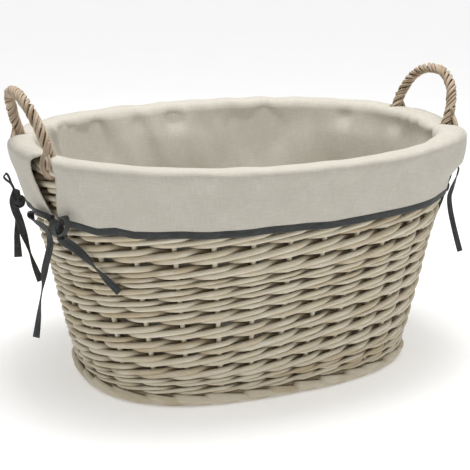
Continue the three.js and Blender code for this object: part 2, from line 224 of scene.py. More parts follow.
def strip_outline():
    """A flat strip's section, with rounded edges, from -1 to 1 both ways."""
    turn = np.arange(16) * 2 * pi / 16
    across = np.sign(np.cos(turn)) * np.abs(np.cos(turn)) ** 0.45
    through = np.sign(np.sin(turn)) * np.abs(np.sin(turn)) ** 0.6
    return np.stack([across, through], axis=1)


ROUND = ring_outline(10)
FINE = ring_outline(8)
STRIP = strip_outline()


def section_axes(points, closed, guide):
    """Two directions square to the line at each point; the first keeps to the guide."""
    if closed:
        ahead = np.roll(points, -1, axis=0) - np.roll(points, 1, axis=0)
    else:
        ahead = np.gradient(points, axis=0)
    ahead = unit(ahead)
    if guide is None:
        first = np.empty_like(points)
        carried = np.array([0.31, 0.52, 0.79])
        for place, direction in enumerate(ahead):
            carried = unit(carried - direction * (carried @ direction))
            first[place] = carried
    else:
        guide = np.broadcast_to(guide, points.shape)
        first = unit(guide - ahead * np.sum(guide * ahead, axis=1, keepdims=True))
    return first, np.cross(ahead, first)


class Strands:
    """Rods or strips that make one mesh.

    Each point carries its place on its own strand (grain), the strand's tone, and how hidden it lies (depth,
    from 0 outside to 1 deepest in), which the willow turns into painted shade.
    """

    def __init__(self):
        self.points, self.faces = [], []
        self.grain, self.tone, self.depth = [], [], []
        self.count = 0

    def add(self, line, wide, thick=None, section=ROUND, guide=None, closed=False, tone=0.5, depth=0.0):
        """Sweep the section along the line. wide and thick are half sizes, alike or one for each point."""
        line = np.asarray(line, float)
        rings, sides = len(line), len(section)
        first, second = section_axes(line, closed, guide)
        wide = np.broadcast_to(wide, rings)[:, None]
        thick = wide if thick is None else np.broadcast_to(thick, rings)[:, None]
        across = section[None, :, 0] * wide
        through = section[None, :, 1] * thick
        skin = line[:, None] + across[..., None] * first[:, None] + through[..., None] * second[:, None]
        along = distances(line)[:, None] + self.count * 0.0137
        grain = np.stack([np.broadcast_to(along, across.shape), across, through], axis=-1)
        index = self.count + np.arange(rings * sides).reshape(rings, sides)
        ahead = np.roll(index, -1, axis=0)
        if not closed:
            index_from, ahead = index[:-1], ahead[:-1]
        else:
            index_from = index
        quads = np.stack(
            [index_from, np.roll(index_from, -1, axis=1), np.roll(ahead, -1, axis=1), ahead], axis=-1
        )
        self.faces += quads.reshape(-1, 4).tolist()
        if not closed:
            self.faces.append(index[0][::-1].tolist())
            self.faces.append(index[-1].tolist())
        self.points.append(skin.reshape(-1, 3))
        self.grain.append(grain.reshape(-1, 3))
        tone = np.broadcast_to(tone, rings)[:, None]
        self.tone.append(np.broadcast_to(tone, (rings, sides)).reshape(-1))
        self.depth.append(np.broadcast_to(depth, (rings, sides)).reshape(-1))
        self.count += rings * sides

    def build(self, name, material, slot, *nodes):
        return piece(
            name, np.vstack(self.points), self.faces, material, nodes,
            grain=np.vstack(self.grain), tone=np.concatenate(self.tone), depth=np.concatenate(self.depth),
        )


def piece(name, points, faces, material, nodes, grain, tone=None, depth=None):
    """A mesh that rides on the basket and stands for these CAD nodes."""
    mesh = bpy.data.meshes.new(name)
    mesh.from_pydata(np.asarray(points).tolist(), [], faces)
    mesh.attributes.new("grain", "FLOAT_VECTOR", "POINT").data.foreach_set("vector", grain.ravel())
    for label, values in (("tone", tone), ("depth", depth)):
        if values is not None:
            mesh.attributes.new(label, "FLOAT", "POINT").data.foreach_set("value", values)
    mesh.shade_smooth()
    mesh.materials.append(material)
    obj = bpy.data.objects.new(name, mesh)
    bpy.context.scene.collection.objects.link(obj)
    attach(obj, "root")
    if nodes:
        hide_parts(*nodes)
    return obj


class Ripples:
    """Smooth unevenness: the sum of a few waves whose directions and starts are drawn by chance."""

    def __init__(self, lengths, count=9):
        """lengths are the shortest and longest wave, in the units of the places it is asked for."""
        turn = chance.uniform(0, 2 * pi, count)
        wave = 2 * pi / chance.uniform(*lengths, count)
        self.waves = np.stack([np.cos(turn) * wave, np.sin(turn) * wave])
        self.starts = chance.uniform(0, 2 * pi, count)
        self.size = (2 / count) ** 0.5

    def at(self, first, second=0.0):
        first, second = np.broadcast_arrays(np.asarray(first, float), second)
        phase = first[..., None] * self.waves[0] + second[..., None] * self.waves[1] + self.starts
        return self.size * np.sin(phase).sum(axis=-1)


def lap_noise(spaces, rough):
    """Smooth chance values round the wall that meet where the lap closes."""
    knots = chance.normal(0, 1, int(STAKES / rough))
    place = np.mod(spaces, STAKES) / STAKES * len(knots)
    low = np.floor(place).astype(int) % len(knots)
    part = place - np.floor(place)
    part = part * part * (3 - 2 * part)
    return knots[low] * (1 - part) + knots[(low + 1) % len(knots)] * part


# ---------- materials ----------


class Shader:
    """A material under construction: add() makes a node, and join() links two sockets."""

    def __init__(self, name, roughness, **surface):
        self.material = bpy.data.materials.new(name)
        self.material.use_nodes = True
        self.tree = self.material.node_tree
        self.surface = self.tree.nodes["Principled BSDF"]
        self.surface.inputs["Roughness"].default_value = roughness
        for socket, value in surface.items():
            self.surface.inputs[socket.replace("_", " ")].default_value = value

    def add(self, kind, inputs=None, **settings):
        node = self.tree.nodes.new("ShaderNode" + kind)
        for name, value in settings.items():
            setattr(node, name, value)
        for socket, value in (inputs or {}).items():
            if isinstance(value, bpy.types.NodeSocket):
                self.tree.links.new(value, node.inputs[socket])
            else:
                node.inputs[socket].default_value = value
        return node

    def join(self, output, socket):
        self.tree.links.new(output, self.surface.inputs[socket])

    def attribute(self, name):
        return self.add("Attribute", attribute_name=name)

    def math(self, operation, first, second=0.0, third=0.0):
        node = self.add("Math", {0: first, 1: second, 2: third}, operation=operation)
        return node.outputs[0]

    def stretched(self, place, scale):
        """The place with each axis scaled on its own, for a grain that runs one way."""
        return self.add("VectorMath", {0: place, 1: scale}, operation="MULTIPLY").outputs[0]

    def noise(self, place, scale, detail=3.0, roughness=0.55):
        inputs = {"Vector": place, "Scale": scale, "Detail": detail, "Roughness": roughness}
        return self.add("TexNoise", inputs).outputs["Fac"]

    def spread(self, value, low, high, to_low=0.0, to_high=1.0):
        inputs = {"Value": value, "From Min": low, "From Max": high, "To Min": to_low, "To Max": to_high}
        return self.add("MapRange", inputs).outputs["Result"]

    def mix(self, factor, first, second):
        node = self.add("Mix", data_type="RGBA", blend_type="MIX")
        for socket, value in ((node.inputs[0], factor), (node.inputs[6], first), (node.inputs[7], second)):
            if isinstance(value, bpy.types.NodeSocket):
                self.tree.links.new(value, socket)
            elif isinstance(value, float):
                socket.default_value = value
            else:
                socket.default_value = (*value, 1)
        return node.outputs[2]

    def bump(self, height, distance):
        inputs = {"Height": height, "Distance": distance, "Strength": 1.0}
        self.join(self.add("Bump", inputs).outputs["Normal"], "Normal")


def willow_material(name, pale, tan, dark, wash):
    """Whitewashed rods: a tone for each rod, streaks along it, worn patches, fine bark lines, and painted
    shade that darkens the parts the depth attribute marks as hidden.
    """
    shader = Shader(name, 0.62, Specular_IOR_Level=0.28)
    place = shader.attribute("grain").outputs["Vector"]
    tone = shader.attribute("tone").outputs["Fac"]
    streaks = shader.noise(shader.stretched(place, (14, 900, 900)), 1.0, 4.0, 0.6)
    patches = shader.noise(shader.stretched(place, (32, 120, 120)), 1.0, 3.0)
    lines = shader.noise(shader.stretched(place, (60, 2600, 2600)), 1.0, 2.0)
    colour = shader.mix(shader.spread(tone, 0.25, 0.95), pale, tan)
    colour = shader.mix(shader.spread(streaks, 0.42, 0.72, 0.0, 0.55), colour, tan)
    colour = shader.mix(shader.spread(lines, 0.55, 0.8, 0.0, 0.6), colour, dark)
    colour = shader.mix(shader.spread(patches, 0.5, 0.78, 0.0, 0.75), colour, wash)
    # painted shade: depth darkens the rods towards the dark colour where they lie behind the stakes and in
    # the weave's gaps
    depth = shader.attribute("depth").outputs["Fac"]
    colour = shader.mix(shader.spread(depth, 0.0, 1.0, 0.0, 0.80), colour, dark)
    shader.join(colour, "Base Color")
    shader.join(shader.spread(streaks, 0.3, 0.7, 0.5, 0.75), "Roughness")
    height = shader.math("ADD", streaks, shader.math("MULTIPLY", lines, 0.5))
    shader.bump(height, 0.35 * MM)
    return shader.material


def linen_material():
    """Slubby plain weave: threads both ways, thicker and paler slubs, and a faint uneven tone."""
    shader = Shader("linen", 0.88, Specular_IOR_Level=0.12, Sheen_Weight=0.12, Sheen_Roughness=0.5)
    place = shader.attribute("grain").outputs["Vector"]
    warp = shader.noise(shader.stretched(place, (1000, 60, 1)), 1.0, 3.0, 0.6)
    weft = shader.noise(shader.stretched(place, (60, 1000, 1)), 1.0, 3.0, 0.6)
    slubs = shader.noise(shader.stretched(place, (70, 420, 1)), 1.0, 2.0, 0.5)
    clouds = shader.noise(shader.stretched(place, (26, 26, 1)), 1.0, 3.0, 0.6)
    threads = shader.math("ADD", warp, weft)
    colour = shader.mix(shader.spread(threads, 0.7, 1.3), (0.49, 0.46, 0.39), (0.605, 0.58, 0.515))
    colour = shader.mix(shader.spread(slubs, 0.56, 0.78, 0.0, 0.5), colour, (0.66, 0.64, 0.585))
    colour = shader.mix(shader.spread(clouds, 0.35, 0.75, 0.0, 0.35), colour, (0.47, 0.44, 0.365))
    shader.join(colour, "Base Color")
    weave = []
    for axis in ("X", "Y"):
        part = shader.add("SeparateXYZ", {0: place}).outputs[axis]
        weave.append(shader.math("SINE", shader.math("MULTIPLY", part, 2 * pi / (1.1 * MM))))
    height = shader.math("MULTIPLY_ADD", shader.math("MULTIPLY", weave[0], weave[1]), 0.35, threads)
    shader.bump(height, 0.16 * MM)
    return shader.material


def tape_material():
    """Slate cotton tape: a fine twill, a stitched line near one edge and slightly worn edges."""
    shader = Shader("tape", 0.86, Specular_IOR_Level=0.15, Sheen_Weight=0.15, Sheen_Roughness=0.45)
    place = shader.attribute("grain").outputs["Vector"]
    parts = shader.add("SeparateXYZ", {0: place})
    slant = shader.math("ADD", parts.outputs["X"], parts.outputs["Y"])
    twill = shader.math("SINE", shader.math("MULTIPLY", slant, 2 * pi / (0.9 * MM)))
    worn = shader.noise(shader.stretched(place, (90, 260, 260)), 1.0, 4.0, 0.6)
    colour = shader.mix(shader.spread(worn, 0.35, 0.7), (0.040, 0.043, 0.042), (0.068, 0.072, 0.070))
    edge = shader.math("ABSOLUTE", parts.outputs["Y"])
    edge_light = shader.spread(edge, 3.4 * MM, 4.4 * MM, 0.0, 0.4)
    colour = shader.mix(edge_light, colour, (0.095, 0.10, 0.097))
    seam = shader.math("COMPARE", parts.outputs["Y"], 2.9 * MM, 0.3 * MM)
    dashes = shader.math("SINE", shader.math("MULTIPLY", parts.outputs["X"], 2 * pi / (2.6 * MM)))
    stitches = shader.math("MULTIPLY", seam, shader.spread(dashes, -0.3, 0.1))
    colour = shader.mix(shader.math("MULTIPLY", stitches, 0.5), colour, (0.03, 0.036, 0.036))
    shader.join(colour, "Base Color")
    height = shader.math("SUBTRACT", shader.math("MULTIPLY_ADD", twill, 0.25, worn), stitches)
    shader.bump(height, 0.25 * MM)
    return shader.material


def floor_material():
    """Pale studio paper with the faintest mottling."""
    shader = Shader("studio_floor", 0.95, Specular_IOR_Level=0.0, Emission_Strength=0.3)
    place = shader.add("NewGeometry").outputs["Position"]
    mottle = shader.noise(place, 6.0, 2.0)
    colour = shader.mix(shader.spread(mottle, 0.3, 0.7), (0.915, 0.915, 0.915), (0.925, 0.925, 0.925))
    shader.join(colour, "Base Color")
    shader.join(colour, "Emission Color")
    return shader.material


WILLOW = willow_material(
    "willow", (0.68, 0.62, 0.485), (0.52, 0.435, 0.295), (0.25, 0.185, 0.11), (0.78, 0.745, 0.65)
)
# painted shade: the core is coloured far darker than the wrap's rods, so that where it shows between them it
# reads as the shade in the grooves
CORE_PAINTED_SHADE = willow_material(
    "core_painted_shade", (0.20, 0.135, 0.075), (0.14, 0.09, 0.048), (0.07, 0.045, 0.025), (0.25, 0.18, 0.11)
)
INNER_WILLOW = willow_material(
    "inner_willow", (0.42, 0.34, 0.22), (0.33, 0.245, 0.14), (0.17, 0.115, 0.06), (0.50, 0.44, 0.33)
)
HANDLE_WILLOW = willow_material(
    "handle_willow", (0.50, 0.395, 0.285), (0.34, 0.245, 0.16), (0.11, 0.07, 0.04), (0.58, 0.52, 0.43)
)
LINEN = linen_material()
TAPE = tape_material()
STUDIO_FLOOR = floor_material()


# ---------- camera ----------


def make_camera():
    back = Vector(
        (
            sin(CAMERA_AZIMUTH) * cos(CAMERA_ELEVATION),
            -cos(CAMERA_AZIMUTH) * cos(CAMERA_ELEVATION),
            sin(CAMERA_ELEVATION),
        )
    )
    aside = Vector((cos(CAMERA_AZIMUTH), sin(CAMERA_AZIMUTH), 0))
    above = back.cross(aside)
    data = bpy.data.cameras.new("camera")
    data.lens = CAMERA_LENS
    data.sensor_width = 36
    camera = bpy.data.objects.new("camera", data)
    camera.location = (
        Vector((0, 0, LOOK_HEIGHT)) + back * CAMERA_DISTANCE + aside * CAMERA_ASIDE + above * CAMERA_ABOVE
    )
    camera.rotation_euler = back.to_track_quat("Z", "Y").to_euler()
    bpy.context.scene.collection.objects.link(camera)
    bpy.context.scene.camera = camera


make_camera()


# ---------- ties ----------
# Each bow is a knot at a slit's lower end with two ties. A tie's route starts beside the knot, goes
# round its loop and down its tail. Routes are in the knot's own frame, in millimetres: along the hem
# towards the next stake, outwards, and up. "facing" gives which way the tie's width points, at places
# from 0 to 1 along it, and "narrowing" how wide it is there.

FLAT_LOOP = {
    "route": [
        (-7, 0, 5), (-16, 2, 11), (-30, 3, 14), (-44, 3, 13), (-51, 3, 9), (-47, 4, 3), (-34, 5, 1),
        (-20, 6, 0), (-9, 7, -4), (-4, 7, -17), (-7, 9, -32), (-11, 12, -50), (-14, 14, -70),
        (-17, 17, -92), (-20, 19, -115), (-24, 21, -139),
    ],
    "facing": [
        (0, (0, 0.9, 0.4)), (0.2, (0, 0.9, 0.35)), (0.28, (0, 1, 0.2)), (0.36, (0, 0.6, 0.7)),
        (0.47, (0, 0.3, 0.95)), (0.54, (0.7, 0.1, 0.6)), (0.6, (0.9, -0.3, 0)), (0.74, (0.8, -0.5, 0)),
        (0.84, (0.75, 0.65, 0)), (0.92, (0.95, -0.2, 0)), (1, (0.75, -0.6, 0)),
    ],
    "narrowing": [
        (0, 0.8), (0.2, 1.0), (0.36, 1.1), (0.5, 1.3), (0.6, 0.95), (0.75, 0.9), (0.84, 0.6), (1, 0.9),
    ],
}
WALL_TAIL = {
    "route": [
        (7, 0, 4), (11, 1, 12), (16, 2, 18), (22, 2, 20), (26, 2, 16), (26, 2, 8), (21, 3, 0),
        (14, 4, -6), (15, 0, -12), (23, -9, -20), (33, -18, -32), (43, -25, -45), (55, -32, -58),
        (68, -40, -71),
    ],
    "facing": [
        (0, (0.4, 0.9, 0)), (0.2, (0.4, 0.9, 0.1)), (0.42, (0.4, 0.9, 0.1)), (0.55, (0.5, 0.3, 0.7)),
        (0.66, (0.35, -0.5, 0.75)), (0.76, (0.3, -0.6, 0.73)), (0.84, (0.7, 0.5, 0.5)),
        (0.92, (0.4, -0.4, 0.75)), (1, (0.3, -0.6, 0.73)),
    ],
    "narrowing": [(0, 0.9), (0.3, 1.1), (0.5, 1.1), (0.6, 1.3), (0.74, 1.0), (0.84, 0.65), (1, 1.0)],
}
OUTWARD_LOOP = {
    "route": [
        (7, 0, 4), (9, 2, 11), (10, 5, 19), (10, 9, 27), (9, 14, 31), (7, 17, 35), (4, 14, 38),
        (3, 11, 33), (3, 9, 26), (4, 6, 19), (5, 6, 12), (6, 7, 2), (7, 5, -10), (7, 1, -22),
        (8, -3, -38), (9, -8, -56), (10, -13, -76), (10, -18, -93), (10, -23, -108),
    ],
    "facing": [
        (0, (1, 0.1, 0)), (0.5, (1, 0.1, 0)), (0.6, (0.3, 1, 0)), (0.76, (0.1, 1, 0)), (0.87, (1, 0.2, 0)),
        (0.93, (0.5, 0.9, 0)), (1, (0.1, 1, 0)),
    ],
    "narrowing": [
        (0, 0.8), (0.2, 0.6), (0.35, 0.8), (0.5, 0.7), (0.62, 1.1), (0.8, 1.0), (0.87, 0.6), (1, 0.95),
    ],
}
HIDDEN_LOOP = {
    "route": [
        (-7, 0, 3), (-15, 3, 7), (-27, 5, 9), (-37, 5, 5), (-38, 5, -2), (-29, 6, -5), (-18, 6, -5),
        (-10, 5, -9), (-7, 5, -18), (-7, 5, -32), (-7, 6, -48), (-8, 6, -64), (-8, 6, -79),
    ],
    "facing": [
        (0, (0, 0.9, 0.4)), (0.2, (0, 0.9, 0.35)), (0.3, (0, 1, 0.2)), (0.42, (0, 0.4, 0.9)),
        (0.56, (0.7, 0.1, 0.6)), (0.66, (0.9, 0.3, 0)), (0.8, (0.4, 0.9, 0)), (1, (0.1, 1, 0)),
    ],
    "narrowing": [(0, 0.8), (0.6, 0.8), (0.72, 0.6), (1, 1.1)],
}
UPRIGHT_LOOP = {
    "route": [
        (-5, 2, 4), (-6, 5, 12), (-7, 7, 20), (-8, 10, 27), (-8, 16, 28), (-7, 16, 20),
        (-7, 13, 10), (-7, 9, -2), (-7, 6, -14), (-6, 8, -30), (-6, 12, -47), (-5, 17, -64),
        (-4, 22, -80), (-3, 27, -95),
    ],
    "facing": [
        (0, (1, 0.1, 0)), (0.4, (1, 0.2, 0)), (0.55, (0.5, 1, 0)), (0.7, (0.1, 1, 0)), (1, (0, 1, 0)),
    ],
    "narrowing": [(0, 0.8), (0.3, 0.9), (0.6, 0.75), (1, 0.8)],
}
BACKWARD_LOOP = {
    "route": [
        (7, 0, 3), (15, 1, 8), (27, 1, 10), (37, 0, 6), (38, 0, -1), (30, 1, -5), (19, 2, -6),
        (12, 1, -11), (12, -1, -21), (17, -4, -35), (23, -8, -52), (28, -12, -70), (32, -16, -92),
    ],
    "facing": [
        (0, (0, 0.9, 0.4)), (0.2, (0, 0.9, 0.35)), (0.3, (0, 1, 0.2)), (0.42, (0, 0.4, 0.9)),
        (0.56, (-0.6, 0.4, 0.6)), (0.66, (-0.3, 1, 0)), (1, (0, 1, 0)),
    ],
    "narrowing": [(0, 0.8), (0.6, 0.85), (1, 1.0)],
}


def mirrored(tie):
    """The same tie on the knot's other side."""
    return {
        "route": [(-along, out, up) for along, out, up in tie["route"]],
        "facing": [(place, (-along, out, up)) for place, (along, out, up) in tie["facing"]],
        "narrowing": tie["narrowing"],
    }


# Each bow hangs at a handle's foot. "knot" moves it from there, in its own frame and in millimetres, and
# "size" is how large the knot is along the hem, outwards and up, against a plain one.
BOWS = {
    "front_left": {
        "foot": HANDLE_FEET["left"][1],
        "knot": (10, 7, -7),
        "size": (1.6, 1.25, 1.6),
        "ties": (FLAT_LOOP, WALL_TAIL),
    },
    "back_left": {
        "foot": HANDLE_FEET["left"][0],
        "knot": (0, 9, -11),
        "size": (1.4, 1.5, 1.05),
        "ties": (HIDDEN_LOOP, OUTWARD_LOOP),
    },
    "front_right": {
        "foot": HANDLE_FEET["right"][1],
        "knot": (-3, 3, -12),
        "size": (1.3, 1.15, 1.25),
        "ties": (UPRIGHT_LOOP, BACKWARD_LOOP),
    },
    "back_right": {
        "foot": HANDLE_FEET["right"][0],
        "knot": (-10, 7, -7),
        "size": (1.6, 1.25, 1.6),
        "ties": (mirrored(WALL_TAIL), mirrored(FLAT_LOOP)),
    },
}
BOW_OFF = 0.0152
BOW_HEIGHT = 0.2401
KNOT_TURNS = ((0.15, 1.0, -0.6), (-0.55, 1.1, 0.8))  # tilt, growth, and shift along the hem in millimetres
KNOT_HALF_WIDTH = 3.9 * MM
KNOT_HALF_THICKNESS = 1.0 * MM


def knot_frame(bow):
    """A bow's origin beside the hem, and its three directions: along the hem, outwards and up."""
    origin = wall_point(bow["foot"], BOW_OFF, BOW_HEIGHT)
    ahead = wall_point(bow["foot"] + 0.05, BOW_OFF, BOW_HEIGHT)
    behind = wall_point(bow["foot"] - 0.05, BOW_OFF, BOW_HEIGHT)
    along = unit(ahead - behind)
    out = np.array([along[1], -along[0], 0.0])
    axes = np.stack([along, out, [0.0, 0.0, 1.0]])
    return origin + (np.asarray(bow["knot"]) * MM) @ axes, axes


def make_knot(place, origin, axes, size):
    """The knot: a wrap of tape drawn tight round the ties, a second turn crossing it, and a filled middle."""
    strands = Strands()
    turn = np.arange(28) * 2 * pi / 28
    size = np.asarray(size)
    for tilt, grown, shift in KNOT_TURNS:
        along = tilt * np.cos(turn) * 4.4 + shift
        out = np.sin(turn) * 4.1 * grown
        up = np.cos(turn) * 5.0 * grown
        line = origin + (np.stack([along, out, up], axis=1) * size * MM) @ axes
        wide = axes[0] + 0.25 * tilt * axes[2]
        strands.add(line, KNOT_HALF_WIDTH * size[0], KNOT_HALF_THICKNESS, STRIP, wide, closed=True)
    core = origin + np.array([[-6.0, 0, 0], [-3.5, 0, 0], [3.5, 0, 0], [6.0, 0, 0]]) * size * MM @ axes
    fullness = np.array([3.0, 4.7, 4.7, 3.0]) * MM
    strands.add(core, fullness * size[1], fullness * 1.2 * size[2], guide=axes[1])
    return strands.build(f"bow_{place}_knot_wraps", TAPE, "tape", f"bow_{place}_knot")


def make_tie(place, number, tie, origin, axes):
    name = f"bow_{place}_tie_{number}"
    line = origin + (smooth(tie["route"], TIE_STEPS) * MM) @ axes
    count = len(line)
    facing = between(tie["facing"], count) @ axes
    half = between(tie["narrowing"], count) * TIE_WIDTH / 2
    thick = TIE_THICKNESS / 2 * (1 + 0.5 * np.maximum(0, 0.85 - 2 * half / TIE_WIDTH))
    strands = Strands()
    strands.add(line, half, thick, STRIP, facing)
    obj = strands.build(f"{name}_ribbon", TAPE, "tape", name)


for bow_place, bow in BOWS.items():
    bow_origin, bow_axes = knot_frame(bow)
    bow_knot = make_knot(bow_place, bow_origin, bow_axes, bow["size"])
    for tie_index, bow_tie in enumerate(bow["ties"]):
        make_tie(bow_place, tie_index + 1, bow_tie, bow_origin, bow_axes)


# ---------- willow ----------


def stakes():
    """The upright rods that the rows are woven round, each swaying a little."""
    strands = Strands()
    for number in range(STAKES):
        spaces = number + 0.5
        height = np.linspace(0.0135, 0.2895, 24)
        sway = Ripples((0.1, 0.3)).at(height) * 0.01
        line = wall_point(spaces + sway, STAKE_OFF, height)
        girth = STAKE_RADIUS * chance.uniform(0.9, 1.05)
        strands.add(line, girth, guide=outward_at(spaces), tone=chance.uniform(0, 0.35))
    strands.build("stake_rods", WILLOW, "inner_willow", "stakes")


def woven_row(node, reach):
    """Three rods that each pass outside two stakes and behind the third, as one strand of three laps."""
    low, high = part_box(node)
    middle = (low.z + high.z) / 2
    pitch = high.z - low.z + 0.3 * MM
    radius = 1.3 * MM + 0.12 * pitch
    lift = pitch / 2 - 0.92 * radius
    spaces = 2.5 + np.arange(3 * STAKES * ROD_STEPS) / ROD_STEPS
    phase = np.mod(spaces, 3)
    behind = np.mod(phase - 1.5, 3)
    off = reach * np.where(behind < 2, np.cos(pi * behind), 1.0)
    climb = phase - 1
    slope = (radius - 0.125 * lift) / 0.375
    outside = slope * climb + (lift - slope) * climb**3
    rise = np.where(phase < 2, outside, lift * np.cos(pi * (phase - 2)))
    stroke = np.floor((spaces - 2.5) / 3).astype(int)
    strokes = stroke.max() + 1
    within = np.mod(spaces - 2.5, 3) / 3
    blend = within * within * (3 - 2 * within)

    def eased(values):
        return values[stroke] * (1 - blend) + values[(stroke + 1) % strokes] * blend

    sizes = eased(1 + 0.10 * chance.normal(0, 1, strokes))
    heights = eased(0.55 * MM * chance.normal(0, 1, strokes))
    tones = np.clip(chance.normal(0.42, 0.34, strokes), 0, 1)
    sway = lap_noise(spaces, 3.2) * 0.55 * MM
    line = wall_point(spaces, off, middle + rise + heights + sway)
    strands = Strands()
    # painted shade: each rod darkens where it lies in behind the stakes (off below 5 mm), standing in for the
    # shade in the gaps between rows
    depth = np.clip((5.0 * MM - off) / (7.0 * MM), 0, 1)[:, None]
    strands.add(line, radius * sizes, guide=(0, 0, 1), closed=True, tone=tones[stroke], depth=depth)
    strands.build(f"{node}_rods", WILLOW, "willow", node)


def wall_rows():
    for number in (1, 2):
        woven_row(f"upsett_row_{number}", UPSETT_REACH)
    for number in range(1, WALE_ROWS + 1):
        woven_row(f"wale_row_{number:02d}", WALE_REACH)


def foot_border():
    """Each stake's thick end comes out, passes two others, sinks and tucks in under the next.

    A plain ring behind them stands for the stakes' hidden bends and closes the gaps; it is painted almost
    fully dark as the shade there.
    """
    keys = [
        (0.0, -5.0, 10.8), (0.07, 1.0, 11.2), (0.2, 7.2, 11.4), (0.5, 9.2, 10.8), (1.0, 9.0, 8.8),
        (1.5, 8.4, 6.4), (2.0, 7.2, 4.4), (2.5, 3.0, 3.6), (2.9, -3.0, 3.8),
    ]
    leaf = [
        (0, 0.8), (0.12, 0.94), (0.25, 1.03), (0.42, 0.98), (0.55, 0.84), (0.7, 0.66), (0.85, 0.5), (1, 0.35),
    ]
    strands = Strands()
    lap = np.linspace(0, STAKES, STAKES * ROD_STEPS, endpoint=False)
    bends = wall_point(lap, 0, FOOT_BEND_HEIGHT)
    # painted shade: the ring is darkened almost fully (depth 0.95) as the shade between and behind the leaves
    strands.add(bends, FOOT_BEND_RADIUS, guide=(0, 0, 1), closed=True, tone=0.4, depth=0.95)
    for number in range(STAKES):
        curve = smooth(keys, 6)
        out, up = chance.normal(0, 0.5, 2)
        spaces = number + curve[:, 0] * chance.uniform(0.92, 1.06) + chance.normal(0, 0.09)
        line = wall_point(spaces, (curve[:, 1] + out) * MM, (curve[:, 2] + up) * MM)
        girth = FOOT_ROD_RADIUS * between(leaf, len(line)) * chance.uniform(0.86, 1.04)
        tone = np.clip(chance.normal(0.4, 0.3), 0, 1)
        # painted shade: each leaf darkens where it lies in towards the wall (off under 8.4 mm)
        depth = np.clip((8.4 - curve[:, 1]) / 5.0, 0, 1)[:, None]
        strands.add(line, girth, girth * 0.74, guide=(0, 0, 1), tone=tone, depth=depth)
    strands.build("foot_border_rods", WILLOW, "willow", "foot_border")


def top_border():
    """The stakes' tops, laid over each other round the rim like the turns of a rope."""
    strands = Strands()
    for number in range(STAKES):
        part = np.linspace(0, 1, 19)
        turn = -0.8 + 4.4 * part
        spaces = number + 3.0 * part
        line = wall_point(spaces, 7.0 * MM * np.sin(turn), (301.0 + 5.4 * np.cos(turn)) * MM)
        girth = BORDER_ROD_RADIUS * chance.uniform(0.92, 1.0)
        strands.add(line, girth, guide=(0, 0, 1), tone=chance.uniform(0, 0.6))
    strands.build("top_border_rods", WILLOW, "willow", "top_border")


def base_frame():
    """Three long sticks through nine cross sticks."""
    strands = Strands()
    for y in (-16, 0, 16):
        line = [(x * MM, y * MM + 0.4 * MM * sin(x), 15.2 * MM) for x in range(-204, 205, 12)]
        strands.add(line, BASE_STICK_RADIUS, guide=(0, 0, 1), tone=chance.uniform(0.2, 0.7))
    for number in range(9):
        x = -140 + 35 * number
        reach = 139.5 * (1 - (abs(x) / 205) ** FOOT_OVAL_POWER) ** (1 / FOOT_OVAL_POWER)
        line = [(x * MM, y * MM, 12.4 * MM) for y in np.linspace(-reach, reach, 22)]
        strands.add(line, BASE_STICK_RADIUS, guide=(0, 0, 1), tone=chance.uniform(0.2, 0.7))
    strands.build("base_frame_rods", INNER_WILLOW, "inner_willow", "base_frame")


def base_weave():
    """Rounds of thin rods, over and under the sticks, from the middle out to the border."""
    strands = Strands()
    for number in range(BASE_ROUNDS):
        inset = (5 + 4.9 * number) * MM
        half_length = BASE_HALF_LENGTH - inset
        half_width = BASE_HALF_WIDTH - inset
        angle = np.arange(336) * 2 * pi / 336
        power = oval_power_at(14 * MM)
        radius = (
            np.abs(np.cos(angle) / half_length) ** power + np.abs(np.sin(angle) / half_width) ** power
        ) ** (-1 / power)
        waves = 28
        height = (14 + 2.7 * np.sin(waves / 2 * angle + pi * number)) * MM
        line = np.stack([radius * np.cos(angle), radius * np.sin(angle), height], axis=1)
        tone = 0.5 + 0.3 * np.sin(3 * angle + number)
        strands.add(line, BASE_ROD_RADIUS, section=FINE, guide=(0, 0, 1), closed=True, tone=tone)
    strands.build("base_weave_rods", INNER_WILLOW, "inner_willow", "base_weave")


# ---------- handles ----------


def handle_line(side, low):
    """The handle's centre line, from its back leg at this height, over the arch, to its front leg."""
    back_foot, front_foot = HANDLE_FEET[side]
    back = wall_point(back_foot, 0, HANDLE_SPRING)
    front = wall_point(front_foot, 0, HANDLE_SPRING)
    end = 1 if side == "right" else -1
    turn = pi * np.arange(25) / 24
    rise = np.maximum(np.sin(turn), 0) ** HANDLE_ARCH_POWER
    across = np.sign(np.cos(turn)) * np.abs(np.cos(turn)) ** HANDLE_ARCH_POWER
    share = (1 - across[:, None]) / 2
    arch = back + (front - back) * share + np.outer(rise, [end * HANDLE_LEAN, 0, HANDLE_RISE[side]])
    leg_heights = np.array([low, (low + HANDLE_SPRING) / 2])
    back_leg = wall_point(back_foot, 0, leg_heights)
    front_leg = wall_point(front_foot, 0, leg_heights[::-1])
    return smooth(np.vstack([back_leg, arch, front_leg]), 8)


def handle_core(side):
    strands = Strands()
    # painted shade: the core's very dark material stands for the shade in the grooves of the wrap
    strands.add(handle_line(side, 0.2125), CORE_RADIUS, tone=1.0)
    strands.build(f"handle_{side}_core_rod", CORE_PAINTED_SHADE, "handle_willow", f"handle_{side}_core")


